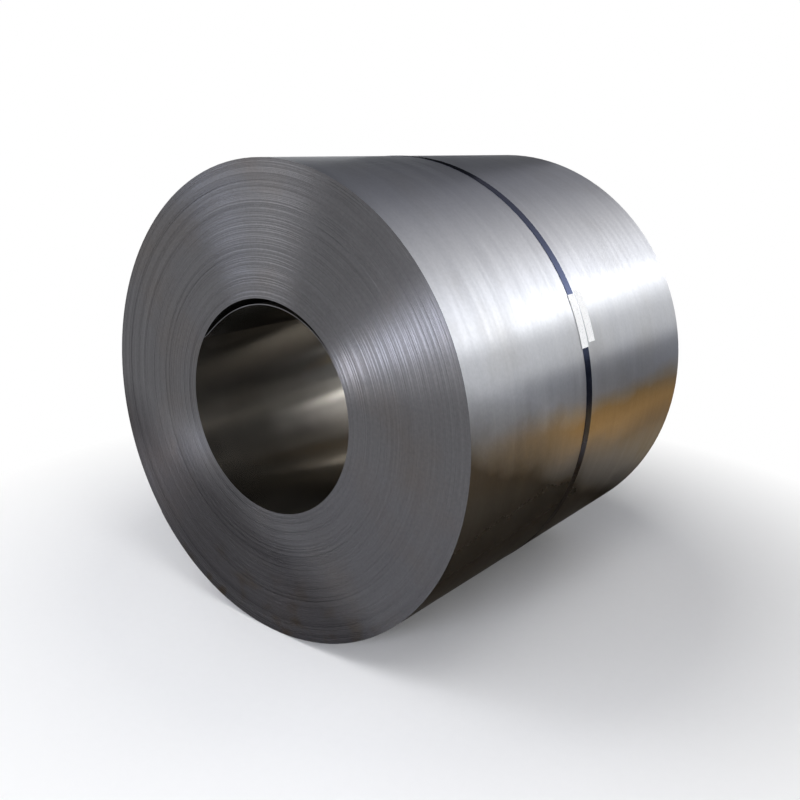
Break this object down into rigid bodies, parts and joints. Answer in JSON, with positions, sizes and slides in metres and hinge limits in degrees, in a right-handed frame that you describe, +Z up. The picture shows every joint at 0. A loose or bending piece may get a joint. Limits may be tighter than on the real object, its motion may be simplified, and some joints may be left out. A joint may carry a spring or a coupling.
{
  "type": "steel coil",
  "caption": "Coil of bright cold-rolled steel strip lying on its side, with a round eye through it, an inner lap sprung off the bore and a steel strap with paper labels round its middle.",
  "frame": {"origin": "On the floor under the centre of the coil as it lies on its side.", "axes": "+Z up; Y runs along the coil's axis, and the front end, where the free inner lap shows best, faces -Y; +X is to the right as seen from the front."},
  "size_m": [1.3634, 1.222, 1.3644],
  "materials": {
    "cold_rolled_steel": "bright cold-rolled, lightly oiled",
    "blued_strapping": "blued and waxed",
    "seal_steel": "dull, crimped",
    "label_paper": "matt white"
  },
  "bodies": {
    "root": {"coil": "cold_rolled_steel", "strap": "blued_strapping", "strap_seal": "seal_steel", "label_on_strap": "label_paper", "label_beside_strap": "label_paper"}
  },
  "joints": []
}
